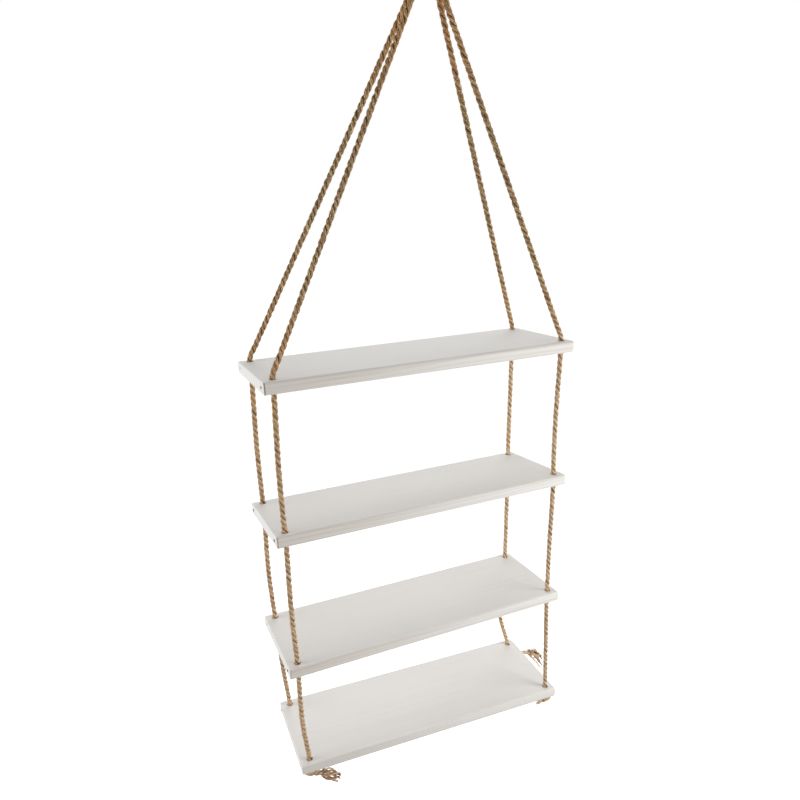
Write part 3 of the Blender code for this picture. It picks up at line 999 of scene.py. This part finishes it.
def board_blank(settings):
    """The board before drilling, with its long edges and the edges round its ends rounded."""
    bm = bmesh.new()
    bmesh.ops.create_cube(bm, size=1.0)
    bmesh.ops.scale(bm, vec=(BOARD_LENGTH, BOARD_DEPTH, BOARD_THICKNESS), verts=bm.verts)
    bmesh.ops.translate(bm, vec=(0, 0, -BOARD_THICKNESS / 2), verts=bm.verts)
    long_edges = [edge for edge in bm.edges if edge.calc_length() > BOARD_LENGTH - CLEARANCE]
    bmesh.ops.bevel(bm, geom=long_edges, offset=settings.edge_radius, segments=LONG_EDGE_STEPS, profile=0.5,
                    affect="EDGES", material=-1)
    for side, radius in ((-1, settings.left_end_radius), (1, settings.right_end_radius)):
        end_plane = BOARD_LENGTH / 2 - CLEARANCE
        rim = [edge for edge in bm.edges if all(vert.co.x * side > end_plane for vert in edge.verts)]
        bmesh.ops.bevel(bm, geom=rim, offset=radius, segments=END_EDGE_STEPS, profile=0.5,
                        affect="EDGES", material=-1)
    return mesh_from(bm, "board_blank")


def drilled_board(settings):
    """The mesh of one board with its rope holes, level and centred on its own top."""
    blank = bpy.data.objects.new("board_blank", board_blank(settings))
    tool = bpy.data.objects.new("hole_cutter", hole_cutter(settings))
    for item in (blank, tool):
        bpy.context.scene.collection.objects.link(item)
    cut = blank.modifiers.new("rope holes", "BOOLEAN")
    cut.operation = "DIFFERENCE"
    cut.solver = "EXACT"
    cut.object = tool
    mesh = bpy.data.meshes.new_from_object(blank.evaluated_get(bpy.context.evaluated_depsgraph_get()))
    for item in (blank, tool):
        bpy.data.objects.remove(item, do_unlink=True)
    mesh.shade_smooth()
    mesh.set_sharp_from_angle(angle=math.radians(SHARP_ANGLE))
    return mesh


class SHELF_OT_cut_boards(bpy.types.Operator):
    """Cut, drill and whitewash the four boards, and hang each in its place"""

    bl_idname = "shelf.cut_boards"
    bl_label = "Cut the boards"
    bl_options = {"REGISTER", "UNDO"}

    def execute(self, context):
        settings = context.scene.shelf_board
        material = whitewash_material(settings)
        plain = drilled_board(settings)
        for number, row in enumerate(BOARDS):
            mesh = plain.copy()
            flat = np.zeros(len(mesh.vertices) * 3, np.float32)
            mesh.vertices.foreach_get("co", flat)
            store(mesh, "board_place", flat.reshape(-1, 3))
            store(mesh, "board_number", np.full(len(mesh.vertices), float(number + 1)))
            mesh.transform(board_matrix(row))
            piece = finish_piece(row[0] + "_whitewashed", mesh, material, "board", row[0])
            even = piece.modifiers.new("even shading", "WEIGHTED_NORMAL")
            even.keep_sharp = True
        return {"FINISHED"}


# Nails

def nail_mesh(settings):
    """A nail along +Z with a domed head, its head's underside at Z 0, as far in as the rope."""
    head = settings.head_radius
    height = settings.head_height
    shank = settings.shank_radius
    tip = HOLE_FROM_END - ROPE_RADIUS
    profile = [(head * across, -height * up) for across, up in NAIL_CROWN]
    profile += [(shank, 0.0), (shank, tip), (0.0, tip)]
    bm = bmesh.new()
    verts = [bm.verts.new((across, 0.0, along)) for across, along in profile]
    edges = [bm.edges.new(pair) for pair in zip(verts, verts[1:])]
    bmesh.ops.spin(bm, geom=verts + edges, cent=(0, 0, 0), axis=(0, 0, 1), dvec=(0, 0, 0),
                   angle=math.tau, steps=NAIL_SIDES, use_merge=True)
    bmesh.ops.remove_doubles(bm, verts=bm.verts, dist=1e-7)
    mesh = mesh_from(bm, "nail")
    mesh.shade_smooth()
    mesh.set_sharp_from_angle(angle=math.radians(SHARP_ANGLE))
    return mesh


class SHELF_OT_drive_nails(bpy.types.Operator):
    """Drive a nail into each end of each board beside each rope"""

    bl_idname = "shelf.drive_nails"
    bl_label = "Drive the nails"
    bl_options = {"REGISTER", "UNDO"}

    def execute(self, context):
        settings = context.scene.shelf_nail
        material = nail_material(settings)
        plain = nail_mesh(settings)
        for row in BOARDS:
            for x, y in hole_places():
                side = "right" if x > 0 else "left"
                place = "back" if y > 0 else "front"
                node = row[0].replace("board", "nail") + "_" + side + "_" + place
                outside = math.copysign(BOARD_LENGTH / 2 + CLEARANCE, x)
                turn = Matrix.Rotation(math.copysign(math.pi / 2, -x), 4, "Y")
                seat = Matrix.Translation((outside, y, -BOARD_THICKNESS / 2)) @ turn
                mesh = plain.copy()
                store(mesh, "painted", np.full(len(mesh.vertices), float(node in PAINTED_NAILS)))
                mesh.transform(board_matrix(row) @ seat)
                finish_piece(node + "_driven", mesh, material, "nail", node)
        return {"FINISHED"}


# Camera and stage

class SHELF_OT_aim_camera(bpy.types.Operator):
    """Aim the camera as the shelf was photographed"""

    bl_idname = "shelf.aim_camera"
    bl_label = "Aim the camera"
    bl_options = {"REGISTER", "UNDO"}

    def execute(self, context):
        data = bpy.data.cameras.new("photo_camera")
        data.sensor_width = SENSOR_WIDTH
        data.lens = FOCAL_PIXELS / IMAGE_SIDE * SENSOR_WIDTH
        data.shift_x = (IMAGE_SIDE / 2 - LENS_CENTRE_X) / IMAGE_SIDE
        data.shift_y = (LENS_CENTRE_Y - IMAGE_SIDE / 2) / IMAGE_SIDE
        data.clip_start = 0.01
        data.clip_end = 200.0
        camera = bpy.data.objects.new("photo_camera", data)
        context.scene.collection.objects.link(camera)
        aim = Matrix.Rotation(-math.radians(CAMERA_AZIMUTH), 4, "Z")
        aim = aim @ Matrix.Rotation(math.radians(90 - CAMERA_LOOKS_DOWN), 4, "X")
        aim = aim @ Matrix.Rotation(math.radians(CAMERA_ROLL), 4, "Z")
        camera.matrix_world = Matrix.Translation(CAMERA_PLACE) @ aim
        context.scene.camera = camera
        return {"FINISHED"}


def soft_light(name, place, size, power, colour):
    """A wide square light that faces the middle of the shelf."""
    data = bpy.data.lights.new(name, "AREA")
    data.shape = "SQUARE"
    data.size = size
    data.energy = power
    data.color = colour
    light = bpy.data.objects.new(name, data)
    bpy.context.scene.collection.objects.link(light)
    facing = (Vector(AIM_POINT) - Vector(place)).to_track_quat("-Z", "Y")
    light.matrix_world = Matrix.Translation(place) @ facing.to_matrix().to_4x4()
    return light


def surroundings(strength):
    """Even white light from all round, and plain white behind the shelf."""
    world = bpy.data.worlds.new("white studio")
    world.use_nodes = True
    tree = world.node_tree
    light = tree.nodes["Background"]
    light.inputs["Color"].default_value = (1.0, 0.995, 0.985, 1.0)
    light.inputs["Strength"].default_value = strength
    behind = put(tree, "ShaderNodeBackground", {"Color": (1.0, 1.0, 1.0, 1.0), "Strength": 1.0})
    seen = put(tree, "ShaderNodeLightPath").outputs["Is Camera Ray"]
    mixed = put(tree, "ShaderNodeMixShader", {0: seen, 1: light.outputs[0], 2: behind.outputs[0]})
    tree.links.new(mixed.outputs[0], tree.nodes["World Output"].inputs["Surface"])
    return world


class SHELF_OT_set_stage(bpy.types.Operator):
    """Lay the pale floor and set the soft studio lights"""

    bl_idname = "shelf.set_stage"
    bl_label = "Set the stage"
    bl_options = {"REGISTER", "UNDO"}

    def execute(self, context):
        settings = context.scene.shelf_stage
        bm = bmesh.new()
        bmesh.ops.create_grid(bm, x_segments=1, y_segments=1, size=settings.floor_size / 2,
                              matrix=Matrix.Translation((0, 0, settings.floor_height)))
        mesh = bpy.data.meshes.new("floor")
        bm.to_mesh(mesh)
        bm.free()
        mesh.materials.append(floor_material(settings))
        floor = bpy.data.objects.new("floor", mesh)
        context.scene.collection.objects.link(floor)
        floor.visible_diffuse = False
        for name, place, size, colour in LIGHTS:
            soft_light(name, place, size, getattr(settings, name), colour)
        context.scene.world = surroundings(settings.ambient)
        context.scene.view_settings.view_transform = "Standard"
        context.scene.view_settings.look = "None"
        return {"FINISHED"}


class SHELF_PT_panel(bpy.types.Panel):
    """Steps that make the rope shelf, in order"""

    bl_label = "Rope shelf"
    bl_idname = "SHELF_PT_panel"
    bl_space_type = "VIEW_3D"
    bl_region_type = "UI"
    bl_category = "Rope shelf"

    def draw(self, context):
        for operator in OPERATORS:
            self.layout.operator(operator.bl_idname)


OPERATORS = (
    SHELF_OT_aim_camera,
    SHELF_OT_twist_ropes,
    SHELF_OT_raise_fibres,
    SHELF_OT_cut_boards,
    SHELF_OT_drive_nails,
    SHELF_OT_set_stage,
)
SETTINGS = (
    ("shelf_board", ShelfBoardSettings),
    ("shelf_rope", ShelfRopeSettings),
    ("shelf_nail", ShelfNailSettings),
    ("shelf_stage", ShelfStageSettings),
)


def register():
    for name, group in SETTINGS:
        bpy.utils.register_class(group)
        setattr(bpy.types.Scene, name, bpy.props.PointerProperty(type=group))
    for operator in OPERATORS:
        bpy.utils.register_class(operator)
    bpy.utils.register_class(SHELF_PT_panel)


def unregister():
    bpy.utils.unregister_class(SHELF_PT_panel)
    for operator in reversed(OPERATORS):
        bpy.utils.unregister_class(operator)
    for name, group in reversed(SETTINGS):
        delattr(bpy.types.Scene, name)
        bpy.utils.unregister_class(group)


def main():
    register()
    bpy.ops.shelf.aim_camera()
    bpy.ops.shelf.twist_ropes()
    bpy.ops.shelf.raise_fibres()
    bpy.ops.shelf.cut_boards()
    bpy.ops.shelf.drive_nails()
    bpy.ops.shelf.set_stage()


if __name__ == "__main__":
    main()
